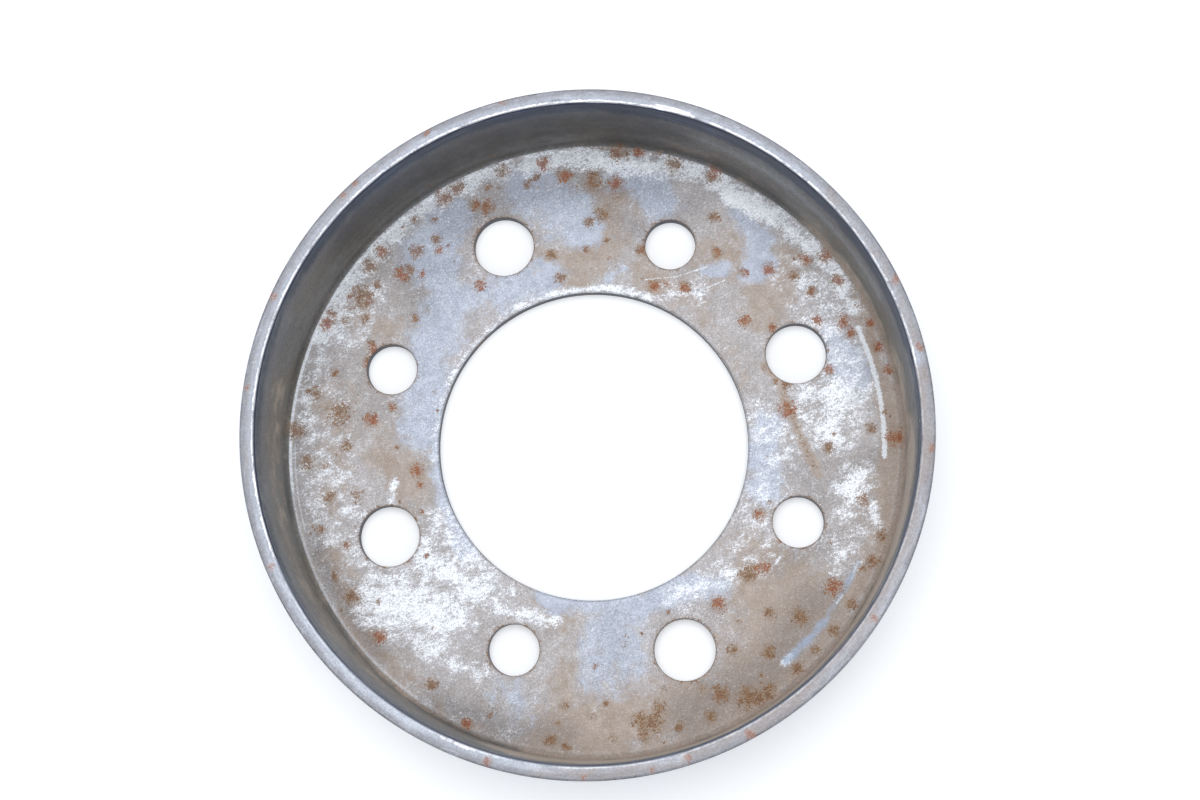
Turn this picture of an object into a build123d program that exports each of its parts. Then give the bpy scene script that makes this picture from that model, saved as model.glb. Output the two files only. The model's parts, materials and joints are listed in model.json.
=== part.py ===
"""Brake drum of a small vehicle, pressed from one disc of steel sheet.

The drum is a shallow cup, open side up.  Its wall is the track that the brake
shoes press on, and its flat web has a centre bore and two sets of bolt holes,
so that it fits two sizes of wheel hub.  Sizes are in millimetres.  The origin
is the centre of the web's outer face, and +Z points along the axis, out of the
open side.
"""

from build123d import *

import math
import os

# Cup
track_diameter = 101.6
sheet_thickness = 2.38
drum_width = 25.4
inner_corner_radius = 1.3

# Rim: trimmed flat, with its inner edge worn to a bevel and its outer edge broken
rim_bevel_width = 0.35
rim_bevel_height = 0.55
rim_outer_bevel = 0.45

# Centre bore
bore_diameter = 50.8
bore_entry_bevel = 0.4

# Bolt holes: a larger and a smaller set, in turn around the bore
holes_per_set = 4
large_hole_diameter = 9.92
large_pitch_diameter = 73.03
small_hole_diameter = 8.33
small_pitch_diameter = 71.44
small_set_turn = 45.0
hole_entry_bevel = 0.25

# Punching leaves a small break on the side where the tool comes out
punch_break = 0.15

# Knocks in the rim's inner edge: angle about the axis, radius of the scoop, depth
rim_knocks = ((52.5, 6.0, 0.28), (71.0, 1.8, 0.2), (0.5, 1.4, 0.3), (223.0, 1.6, 0.24))
knock_reach = 0.8

# Knock in the rim's outer edge
edge_knock_angle = 146.0
edge_knock_radius = 3.0
edge_knock_depth = 0.25
edge_knock_reach = 0.6

track_radius = track_diameter / 2
outer_radius = track_radius + sheet_thickness
outer_corner_radius = inner_corner_radius + sheet_thickness


def arc_point(centre_x, centre_z, radius, angle):
    """Point on an arc about a centre in the section plane, at an angle in degrees."""
    turn = math.radians(angle)
    return (centre_x + radius * math.cos(turn), centre_z + radius * math.sin(turn))


def cup_section():
    """Half section of the cup from the axis out, in the XZ plane."""
    web_top = sheet_thickness
    inner_start = (track_radius - inner_corner_radius, web_top)
    inner_mid = arc_point(inner_start[0], web_top + inner_corner_radius, inner_corner_radius, -45)
    inner_end = (track_radius, web_top + inner_corner_radius)
    bevel_foot = (track_radius, drum_width - rim_bevel_height)
    bevel_top = (track_radius + rim_bevel_width, drum_width)
    edge_start = (outer_radius - rim_outer_bevel, drum_width)
    edge_end = (outer_radius, drum_width - rim_outer_bevel)
    corner_start = (outer_radius, outer_corner_radius)
    corner_mid = arc_point(outer_radius - outer_corner_radius, outer_corner_radius, outer_corner_radius, -45)
    corner_end = (outer_radius - outer_corner_radius, 0)
    with BuildSketch(Plane.XZ) as section:
        with BuildLine():
            Polyline((0, 0), (0, web_top), inner_start)
            ThreePointArc(inner_start, inner_mid, inner_end)
            Polyline(inner_end, bevel_foot, bevel_top, edge_start, edge_end, corner_start)
            ThreePointArc(corner_start, corner_mid, corner_end)
            Line(corner_end, (0, 0))
        make_face()
    return section.sketch


def pressed_cup():
    """The cup before its holes are punched."""
    return revolve(cup_section(), Axis.Z)


def punch(diameter, entry):
    """Tool that cuts one hole: a bevelled edge on the inner face, a small break outside."""
    radius = diameter / 2
    inside = sheet_thickness
    over = sheet_thickness
    outline = [
        (0, -over),
        (radius + punch_break, -over),
        (radius + punch_break, 0),
        (radius, punch_break),
        (radius, inside - entry),
        (radius + entry, inside),
        (radius + entry, inside + over),
        (0, inside + over),
    ]
    with BuildSketch(Plane.XZ) as section:
        with BuildLine():
            Polyline(*outline, close=True)
        make_face()
    return revolve(section.sketch, Axis.Z)


def hole_set(diameter, pitch_diameter, first_angle):
    """Punches for one set of bolt holes, evenly spaced on their pitch circle."""
    places = PolarLocations(pitch_diameter / 2, holes_per_set, first_angle)
    return [place * punch(diameter, hole_entry_bevel) for place in places]


def scoop(angle, radius, depth, edge_radius, reach):
    """Round-bottomed cut across the rim, centred on an edge of the given radius."""
    roller = Cylinder(radius, 2 * reach, rotation=(0, 90, 0))
    height = drum_width + radius - depth
    return Rot(0, 0, angle) * Pos(edge_radius, 0, height) * roller


def knocks():
    """Cuts for the knocks that use has left in the rim."""
    inner = [scoop(angle, radius, depth, track_radius, knock_reach) for angle, radius, depth in rim_knocks]
    outer = scoop(edge_knock_angle, edge_knock_radius, edge_knock_depth, outer_radius, edge_knock_reach)
    return inner + [outer]


def brake_drum():
    """The finished drum as one solid."""
    drum = pressed_cup() - punch(bore_diameter, bore_entry_bevel)
    drum -= hole_set(large_hole_diameter, large_pitch_diameter, 0)
    drum -= hole_set(small_hole_diameter, small_pitch_diameter, small_set_turn)
    drum -= knocks()
    return drum


os.makedirs("parts", exist_ok=True)
export_step(brake_drum(), "parts/brake_drum.step")
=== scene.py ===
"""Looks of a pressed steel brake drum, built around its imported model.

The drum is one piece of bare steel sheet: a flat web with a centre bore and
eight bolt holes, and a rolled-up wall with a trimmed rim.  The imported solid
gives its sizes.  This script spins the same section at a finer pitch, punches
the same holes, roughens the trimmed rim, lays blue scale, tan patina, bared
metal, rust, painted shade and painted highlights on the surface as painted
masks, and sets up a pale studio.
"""

import json
import logging
import math
from dataclasses import dataclass, field
from enum import Enum
from typing import Sequence, Union

import bpy
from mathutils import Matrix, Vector, noise
from mathutils.kdtree import KDTree


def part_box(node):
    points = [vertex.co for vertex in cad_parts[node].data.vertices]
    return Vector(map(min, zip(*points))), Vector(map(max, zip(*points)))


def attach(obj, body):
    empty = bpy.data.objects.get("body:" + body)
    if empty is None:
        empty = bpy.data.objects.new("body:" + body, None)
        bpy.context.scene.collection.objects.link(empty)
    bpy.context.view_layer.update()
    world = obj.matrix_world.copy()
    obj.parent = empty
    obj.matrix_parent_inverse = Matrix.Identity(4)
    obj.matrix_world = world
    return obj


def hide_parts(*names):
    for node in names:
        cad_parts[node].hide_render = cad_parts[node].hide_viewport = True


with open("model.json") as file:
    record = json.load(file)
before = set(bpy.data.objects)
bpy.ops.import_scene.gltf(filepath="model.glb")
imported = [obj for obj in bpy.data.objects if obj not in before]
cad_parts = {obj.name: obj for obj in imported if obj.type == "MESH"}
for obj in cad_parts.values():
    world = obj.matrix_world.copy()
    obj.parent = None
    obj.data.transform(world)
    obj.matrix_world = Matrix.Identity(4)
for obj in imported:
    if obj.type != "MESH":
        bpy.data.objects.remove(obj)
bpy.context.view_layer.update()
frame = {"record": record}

LOG = logging.getLogger("brake_drum_looks")
MM = 0.001

# Heights and the track's radius in millimetres, for the places of the marks
WEB_TOP = 2.38
RIM_TOP = 25.4
TRACK = 50.8

Node = bpy.types.Node
NodeTree = bpy.types.NodeTree
Material = bpy.types.Material
Piece = bpy.types.Object
Output = bpy.types.NodeSocket
Outputs = bpy.types.bpy_prop_collection
Socket = Union[Output, float, Sequence[float]]
Layer = list[float]
Colour = tuple[float, float, float, float]
Place = tuple[float, float]
Band = tuple[float, float]
Triple = tuple[float, float, float]

# A knock in the rim: its angle in degrees, and its radius and depth in millimetres
Knock = Triple

# Scale, detail and roughness of a noise
Noise = Triple

# Scale, reach and softness of a mask's ragged edge
Fray = Triple


def srgb(red: float, green: float, blue: float) -> Colour:
    """Linear colour with full alpha.

    Args:
        red: Display value from 0 to 255.
        green: The same.
        blue: The same.

    Returns:
        The colour.
    """

    def linear(value: float) -> float:
        """One channel from its display value."""
        share = value / 255.0
        return share / 12.92 if share <= 0.04045 else ((share + 0.055) / 1.055) ** 2.4

    return (linear(red), linear(green), linear(blue), 1.0)


def around(angle_deg: float, radius_mm: float, height: float) -> Vector:
    """Point at an angle and a radius about the drum's axis, at a height in metres."""
    angle = math.radians(angle_deg)
    return Vector((radius_mm * MM * math.cos(angle), radius_mm * MM * math.sin(angle), height))


def ring(radius: float, *angles: float) -> tuple[Place, ...]:
    """Places on one circle about the axis, at several angles."""
    return tuple((angle, radius) for angle in angles)


class Region(Enum):
    """Surfaces of the drum that carry a finish of their own."""

    WEB = 0
    TRACK = 1
    RIM = 2
    OUTSIDE = 3
    CUT_EDGE = 4


class Mask(Enum):
    """Masks that are painted on the drum's vertices, by attribute name."""

    COOL = "cool_scale"
    BARED = "bared_metal"
    PATINA = "tan_patina"
    DEEP = "deep_scale"
    SMEAR = "blue_smear"
    RUST = "rust"
    EMBER = "ember"


@dataclass(frozen=True)
class Stroke:
    """A soft brush stroke on the drum, at one height.

    A place is an angle about the axis, in degrees from the X axis, and a
    radius.  Lengths are in millimetres.  The reach is the brush's half width.
    """

    reach: float
    places: tuple[Place, ...]
    strength: float = 1.0
    height: float = WEB_TOP


STROKES = {
    Mask.COOL: (
        Stroke(4.0, ((99, 46.5), (107, 42.5), (108, 35.5), (119, 32), (133, 30), (150, 27))),
        Stroke(3.5, ((109, 33.5), (97, 30), (82, 28.5))),
        Stroke(3.9, ((80, 44), (74.6, 40.5), (70, 36.5)), 1.15),
        Stroke(3.3, ((59, 45.5), (53.5, 44), (49.5, 42))),
        Stroke(2.6, ((34, 45.5), (28.5, 43.5), (24, 41), (23.5, 38))),
        Stroke(5.0, ((254, 27), (252.5, 30.5), (249.5, 35.5))),
        Stroke(2.0, ((229, 26), (249, 26.5), (266, 27.5), (283, 28.5), (288, 31))),
        Stroke(3.6, ((0, 43), (351, 43.5))),
        Stroke(3.3, ((340, 28.5), (324, 29))),
        Stroke(3.0, ((226, 42), (231, 45)), 0.6),
        Stroke(1.7, ((33, 34), (30, 36))),
        Stroke(2.0, ((154, 25.5), (177, 25.5), (195, 26))),
        Stroke(0.9, ((61, 27.7), (59, 28.6), (56, 29.6)), 0.8),
        Stroke(3.0, ring(TRACK, 60, 52, 38, 22, 6, 352), 1.0, 22.8),
        Stroke(2.4, ring(TRACK, 352, 335, 318), 0.8, 23.6),
        Stroke(2.8, ring(TRACK, 60, 80, 100, 125), 0.9, 23.6),
        Stroke(3.0, ring(TRACK, 125, 150, 180, 215), 0.6, 23.4),
        Stroke(2.6, ring(TRACK, 215, 250, 270), 0.6, 24.0),
        Stroke(1.6, ring(TRACK, 270, 285, 318), 0.7, 24.5),
    ),
    # Painted shade: darker patches on the web near the wall, on the far side of the wall and low on the wall
    # near its foot.
    Mask.DEEP: (
        Stroke(4.5, ((98, 43), (88, 43.5), (77, 43), (60, 43), (52, 43)), 0.75),
        Stroke(4.5, ((66, 42), (50, 36), (44, 43)), 0.62),
        Stroke(4.0, ((116, 36), (112, 43), (104, 38)), 0.6),
        Stroke(4.0, ((330, 33), (322, 38), (333, 45)), 0.5),
        Stroke(2.6, ((176, 48), (188, 48), (200, 48.5)), 0.7),
        Stroke(5.0, ((300, 44), (285, 46), (265, 46)), 0.8),
        Stroke(4.0, ((313, 40), (303, 36)), 0.6),
        Stroke(4.0, ((240, 47), (228, 48), (215, 48.5)), 0.7),
        Stroke(4.0, ((252, 29), (252, 36)), 0.45),
        Stroke(9.0, ring(TRACK, 112, 100, 85, 65, 55), 0.95, 14.0),
        Stroke(2.0, ring(TRACK, 60, 80, 100, 120, 140, 168), 0.5, 3.4),
        Stroke(5.0, ring(TRACK, 62, 45, 30), 0.8, 6.0),
    ),
    Mask.PATINA: (
        Stroke(5.5, ((240, 47.5), (256, 45.5), (275, 48), (285, 48.5))),
        Stroke(7.0, ((300, 35.5), (295, 44), (284, 44))),
        Stroke(1.6, ring(49.3, 14, 5), 0.5),
        Stroke(1.9, ((3, 49.2), (337, 48.8), (321, 48.8), (308, 49), (292, 49), (278, 49))),
        Stroke(5.2, ((33, 38.5), (20, 41), (15, 35.5)), 0.9),
        Stroke(4.3, ((61, 41), (63.5, 33.5), (73, 29)), 0.75),
        Stroke(3.6, ((50, 30.5), (40, 28.5), (30, 30.5)), 0.7),
        Stroke(4.6, ((148, 44.5), (164, 42)), 0.6),
        Stroke(4.2, ((158, 34.5), (168, 31)), 0.95),
        Stroke(2.8, ((227, 26.9), (236.6, 28.2), (238, 33), (239, 39), (240, 44)), 0.62),
        Stroke(2.9, ((179, 47), (197, 48.5), (215, 48.5)), 0.6),
        Stroke(3.3, ((127, 47.5), (127, 40.5)), 0.6),
        Stroke(0.85, ((0, 31), (354.8, 32.2), (345.8, 32.4), (336.9, 34.1), (327.9, 37)), 1.1),
        Stroke(2.6, ((84, 31), (74, 31.5), (66, 32.5)), 0.9),
        Stroke(3.0, ((32, 29), (18, 28), (359, 27)), 0.5),
        Stroke(1.6, ((345, 51.7), (330, 51.7), (315, 51.8), (300, 51.7), (285, 51.8), (275, 51.8)),
            0.85, RIM_TOP),
        Stroke(1.6, ring(51.9, 275, 262, 250, 238), 0.7, RIM_TOP),
        Stroke(1.2, ring(52, 20, 5, 350), 0.6, RIM_TOP),
        Stroke(0.7, ring(52.3, 98, 110, 130, 150, 165), 0.45, RIM_TOP),
        Stroke(4.5, ring(TRACK, 50, 20), 0.4, 7.0),
        Stroke(3.0, ring(TRACK, 20, 5, 350), 0.55, 4.0),
        Stroke(6.0, ring(TRACK, 350, 338), 0.6, 6.0),
        Stroke(8.0, ring(TRACK, 330, 300, 275, 250, 235), 1.0, 11.0),
        Stroke(9.0, ring(TRACK, 150, 180, 200, 235), 0.34, 11.0),
        Stroke(1.4, ring(50.4, 200, 214, 235), 0.5, 3.1),
        Stroke(2.0, ring(50.4, 235, 260, 290, 320, 345), 1.0, 3.1),
    ),
    Mask.BARED: (
        Stroke(4.8, ((193, 42), (204, 37)), 0.95),
        Stroke(3.6, ((192, 32.5), (205, 30.5)), 0.85),
        Stroke(1.8, ((205, 42), (209, 42.5)), 0.9),
        Stroke(1.2, ((214, 42), (221, 41)), 0.7),
        Stroke(2.2, ring(28, 182, 193), 0.6),
        Stroke(3.9, ((348, 38), (346.5, 42), (340, 39)), 0.76),
        Stroke(2.6, ((328, 43.5), (325, 42.5)), 0.9),
        Stroke(1.7, ((79, 48.4), (71, 48.6), (66, 48.1), (60, 47.4), (55, 47.6), (50, 48.5)), 1.12),
        Stroke(1.8, ((50, 49), (43, 49.2), (38, 48.4))),
        Stroke(1.6, ((37.5, 47.5), (33, 47.9), (28.5, 48.2)), 1.9),
        Stroke(1.4, ((28.5, 48.8), (20, 48.6), (12, 48.9), (4, 48.4)), 0.9),
        Stroke(1.8, ((134, 48.9), (123, 49), (115, 49), (105, 49.2), (97, 49.4), (84, 49.2)), 0.95),
        Stroke(3.0, ((132, 45.5), (122, 46)), 0.45),
        Stroke(1.8, ((165, 47.5), (150, 48), (137, 48)), 0.4),
        Stroke(2.3, ((200, 27.2), (214, 29.2)), 0.6),
        Stroke(0.6, ((166, 33), (171, 34.2)), 0.85),
        Stroke(2.2, ((275, 28.5), (290, 30), (296, 30)), 0.45),
        Stroke(0.8, ((323.5, 46.5), (320, 47.7)), 0.9),
        Stroke(3.0, ((346, 28), (334, 31)), 0.36),
        Stroke(5.0, ((16, 45.5), (6, 45), (357, 41)), 0.34),
        Stroke(0.7, ((45, 26.3), (60, 26.2), (80, 26.1), (95, 26.1)), 0.8),
        Stroke(0.8, ring(26.1, 95, 120, 140, 160), 0.5),
        Stroke(1.6, ((40, 28), (31, 30.5)), 0.5),
        Stroke(4.0, ring(44, 320, 313), 0.25),
        Stroke(5.0, ((148, 46.5), (158, 45.5), (167, 43), (180, 42), (182, 36)), 0.28),
        Stroke(1.0, ((217, 30.8), (226, 29.6), (234, 29.3)), 0.75),
        Stroke(4.5, ((318, 29), (305, 32)), 0.25),
        Stroke(0.4, ((288.6, 46.9), (286.8, 46.8)), 0.9),
        Stroke(0.65, ((53.5, 51.2), (50.5, 51.3), (48, 51.1)), 1.2, RIM_TOP),
        Stroke(0.3, ((45, 50.9), (40.7, 51)), 0.7, RIM_TOP),
        Stroke(0.5, ring(51, 222, 226), 1.0, RIM_TOP),
        Stroke(0.4, ring(51, 0, 2), 1.0, RIM_TOP),
        # Painted highlights: on the wall, these strokes lay pale streaks.
        Stroke(2.6, ring(TRACK, 46, 30, 14, 2), 0.6, 15.5),
        Stroke(1.2, ring(TRACK, 350, 330, 310), 0.6, 9.0),
    ),
    Mask.SMEAR: (
        Stroke(0.45, ((311.5, 47.1), (303, 47), (299, 46.9)), 0.6),
        Stroke(0.6, ((299, 47.1), (295.5, 47), (291.2, 46.9), (287.4, 46.8)), 0.95),
        # On the rim, these strokes mark a band of painted sheen.
        Stroke(1.0, ((262, 51.4), (238, 51.4), (215, 51.4), (200, 51.4), (180, 51.3)), 1.0, RIM_TOP),
        Stroke(0.8, ring(52.8, 322, 305, 285), 0.5, RIM_TOP),
    ),
    Mask.RUST: (
        Stroke(0.7, ((46.8, 27.8), (43.4, 29.4), (38.4, 29.3)), 0.45),
        Stroke(0.75, ((352, 32.4), (345.8, 32.4), (336.9, 34.1), (330, 36.3)), 0.4),
        Stroke(0.8, ((63, 37.7), (66.3, 38.5), (60.3, 41.8)), 0.3),
        Stroke(0.5, ((67, 49.9), (60, 49.9), (53, 50.0)), 0.5),
    ),
    Mask.EMBER: (
        Stroke(0.9, ((46.8, 27.8), (43.4, 29.4), (38.4, 29.3))),
    ),
}

# Round marks: angle in degrees, radius and width in millimetres, and a strength if it isn't 1
BROWN_SPOTS = (
    (113, 48.2, 1.3), (117, 48, 1.5), (112, 42.5, 1), (108, 44, 1.2), (104, 41.7, 0.8), (103, 43.5, 1),
    (123, 46, 2.2), (97, 48.6, 1.5), (94, 49, 1.2), (129, 48.8, 1), (120, 36.6, 0.9, 0.7), (90, 44, 1.3),
    (66, 44.2, 1.5), (61, 44.3, 1.2), (80, 45.3, 0.8), (50, 48.9, 1.5), (61, 49.3, 1.5), (84, 48.8, 1.2),
    (93, 49.2, 1), (77, 28.4, 1), (52, 33.6, 1), (36, 30.2, 1), (38, 43, 1.1), (33, 37.9, 0.8),
    (25, 37.8, 0.7), (21, 41, 1.1), (17, 46.4, 1), (16, 43.2, 0.9), (42, 49.3, 1.5), (15, 49.3, 1.2),
    (10, 48.6, 1), (11, 43.9, 1), (15, 32.2, 1), (5, 42.2, 0.8), (148.6, 42.4, 2), (152.8, 49.2, 1.7),
    (145, 46.8, 1), (145, 33.8, 0.8), (156, 40.6, 1), (159, 47.4, 1.3), (167, 44.1, 1.1),
    (168, 39.5, 1.2, 0.8), (140, 44.5, 0.8), (131, 40.7, 0.8), (135, 40.1, 0.8), (188, 46.4, 1.5),
    (212, 46.6, 1), (222, 49.3, 0.8), (256, 45.2, 1.4), (256, 47.7, 1), (260, 44, 1.1), (238, 48.2, 1),
    (240, 42.4, 0.9, 0.7), (273, 45.3, 1.5), (269.2, 47.8, 1), (255, 32.3, 1.2, 0.45), (241, 49, 0.8),
    (296, 33, 1.5), (305, 45.4, 1.6), (296, 43.6, 1.4), (292, 39.6, 1), (286, 44, 1.1), (280, 40.1, 1),
    (288, 49, 1.1), (293, 49, 0.8), (298, 49.2, 1), (304, 49.2, 1.1), (313, 49.2, 1.1), (279, 48.9, 1.4),
    (359, 46.1, 0.8), (353, 40.7, 0.8), (339, 45.4, 1), (335, 38.3, 1), (324, 44.8, 1), (318, 49.2, 1),
    (9, 35.3, 0.8), (353, 33.4, 1), (108.2, 44, 1.1), (104, 48.5, 0.8), (96, 48.6, 1.2), (114, 42.4, 1),
    (78, 46, 0.8), (61, 44, 1.4), (66, 45.2, 1.1), (62, 49.6, 0.9), (57, 49.7, 0.9), (78, 32.5, 0.9),
    (68, 32.8, 0.7), (64, 38.5, 1.3), (67, 37.3, 1), (92, 45, 1.1), (126, 43.5, 0.9), (129, 46.4, 0.8),
    (119, 45, 0.8), (101, 46.3, 0.7), (88, 47, 0.7), (173, 46.8, 0.8), (178, 43.4, 0.7), (183, 47.3, 0.7),
    (160, 44.3, 0.6), (258.2, 46, 1.7), (250, 47.3, 0.9, 0.6), (263, 47.6, 0.8), (270, 43.2, 0.9, 0.7),
    (277.4, 48.2, 1.9), (281, 48.9, 1.5), (262, 41.2, 0.7, 0.6), (246, 43.8, 0.7, 0.6),
)

EMBER_SPOTS = (
    (114, 43.3, 1), (131, 48.9, 1.3), (76, 48.1, 1.2), (72, 45.5, 1.3), (101, 32.8, 1), (45, 28.2, 1.2),
    (2, 45.8, 1.3), (149, 36.9, 1.2), (164, 29.3, 1.1), (198, 46.7, 1.3), (284, 33, 1.3),
    (300, 34.1, 1.1), (346, 32.4, 1.6), (337, 49.2, 1.5), (313, 29.5, 1.1), (305, 45.3, 1.1),
    (17.3, 46.6, 1), (20.9, 40.9, 1.1), (24.4, 37.9, 0.7), (14.9, 32.2, 0.9), (4.8, 42.3, 0.8),
    (359.1, 46.2, 0.9), (9.3, 48.7, 0.7), (15.3, 49.9, 0.8), (359.6, 49.7, 0.9), (354.8, 49.4, 1),
    (349.9, 49.8, 0.9), (8.3, 35.1, 0.7), (353.4, 40.4, 0.8), (61.4, 44.3, 0.7), (42.1, 50, 0.9),
    (57, 50, 0.9), (33.7, 37.9, 0.7), (36.2, 29.9, 0.8), (113.2, 48.1, 0.6), (110.6, 40.5, 0.6),
    (104.2, 41.8, 0.7), (144.9, 33.8, 0.7), (168.8, 29.1, 0.6), (177.3, 30, 0.5), (221.8, 49.6, 0.9),
    (136.2, 40, 0.5), (133.6, 35.5, 0.7), (132.4, 40, 0.7), (308.6, 34.2, 0.6),
)

RIM_SPOTS = (
    (332, 52.5, 0.7), (302, 52.2, 0.7), (274, 52.3, 0.8), (263, 52, 0.7), (257, 52.4, 0.6),
    (246, 52.6, 0.7), (230, 52.4, 0.8), (180, 52.3, 0.6), (149, 52.5, 0.6), (133, 52.6, 0.7),
    (94, 52.6, 0.6), (80, 52.8, 0.6), (1, 52.6, 0.8), (349, 52.4, 0.8), (112, 52.7, 0.7),
    (109, 52.7, 0.5),
)

# Straight scratches: the places of both ends, and the width in millimetres
SCRATCHES = (
    ((307.1, 43.6), (307.6, 45.0), 0.35),
    ((49.6, 28.6), (40.0, 31.0), 0.28),
    ((40.0, 31.0), (33.2, 35.1), 0.32),
    ((43.3, 26.8), (32.1, 30.2), 0.28),
    ((32.1, 30.2), (27.3, 34.9), 0.3),
    ((30.4, 31.9), (27.4, 34.5), 0.25),
    ((311.9, 46.9), (308.0, 47.2), 0.5),
    ((304.5, 47.2), (302.6, 47.0), 0.5),
)

# Bright lines along circles: radius, width, middle and half span in degrees, strength
FINE_LINES = (
    (49.95, 0.3, 141, 25, 1.0),
    (50.0, 0.26, 187, 26, 0.32),
    (49.2, 0.2, 164, 9, 0.4),
    (35.5, 0.26, 303.6, 1.2, 1.0),
)

# Long scuff beside the wall: radius, width, middle and half span in degrees
LONG_SCUFF = (47.45, 0.8, -13.5, 14.5)


@dataclass(frozen=True)
class DrumSizes:
    """Sizes of the drum in metres."""

    bore_radius: float
    track_radius: float
    outer_radius: float
    height: float
    sheet: float
    large_hole_radius: float
    large_pitch_radius: float
    small_hole_radius: float
    small_pitch_radius: float
    inner_corner: float = 1.3 * MM
    bevel_width: float = 0.35 * MM
    bevel_height: float = 0.55 * MM
    rim_roll: float = 0.45 * MM
    bore_entry: float = 0.4 * MM
    hole_entry: float = 0.25 * MM
    punch_break: float = 0.15 * MM

    @classmethod
    def from_record(cls, record: dict) -> "DrumSizes":
        """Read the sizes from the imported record's mounts and the model's box.

        Args:
            record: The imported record.

        Returns:
            The sizes, in metres.
        """
        dims = {mount["name"]: mount["dims"] for mount in record["mounts"]}
        low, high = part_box("brake_drum")
        track = dims["brake_track"]["r_mm"] * MM
        sheet = WEB_TOP * MM
        return cls(
            bore_radius=dims["centre_bore"]["r_mm"] * MM,
            track_radius=track,
            outer_radius=min(track + sheet, high.x, high.y, -low.x, -low.y),
            height=high.z,
            sheet=sheet,
            large_hole_radius=dims["large_bolts"]["hole_r_mm"] * MM,
            large_pitch_radius=dims["large_bolts"]["pcd_mm"] / 2 * MM,
            small_hole_radius=dims["small_bolts"]["hole_r_mm"] * MM,
            small_pitch_radius=dims["small_bolts"]["pcd_mm"] / 2 * MM,
        )

    @property
    def outer_corner(self) -> float:
        """Radius of the outer corner between web and wall."""
        return self.inner_corner + self.sheet

    def holes(self) -> list[Triple]:
        """Angle, pitch radius and hole radius of each bolt hole, in turn round the bore."""
        sets = ((0, self.large_pitch_radius, self.large_hole_radius),
                (45, self.small_pitch_radius, self.small_hole_radius))
        return [(90 * quarter + turn, pitch, radius) for quarter in range(4) for turn, pitch, radius in sets]


def only(piece: Piece) -> None:
    """Select one object alone and make it active.

    Args:
        piece: The object.
    """
    bpy.ops.object.select_all(action="DESELECT")
    piece.select_set(True)
    bpy.context.view_layer.objects.active = piece


def edit_all() -> None:
    """Go into Edit mode with everything selected."""
    bpy.ops.object.mode_set(mode="EDIT")
    bpy.ops.mesh.select_all(action="SELECT")


def close_mesh() -> None:
    """Turn all normals outwards and leave Edit mode."""
    bpy.ops.mesh.select_all(action="SELECT")
    bpy.ops.mesh.normals_make_consistent(inside=False)
    bpy.ops.object.mode_set(mode="OBJECT")


def run(start: Place, end: Place, count: int) -> list[Place]:
    """Points along a straight stretch of the section, without its end."""
    steps = (index / count for index in range(count))
    return [(start[0] + (end[0] - start[0]) * s, start[1] + (end[1] - start[1]) * s) for s in steps]


def bend(centre: Place, radius: float, start: float, end: float, count: int) -> list[Place]:
    """Points along an arc of the section, between angles in degrees, without its end."""
    angles = (math.radians(start + (end - start) * index / count) for index in range(count))
    return [(centre[0] + radius * math.cos(a), centre[1] + radius * math.sin(a)) for a in angles]


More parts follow.
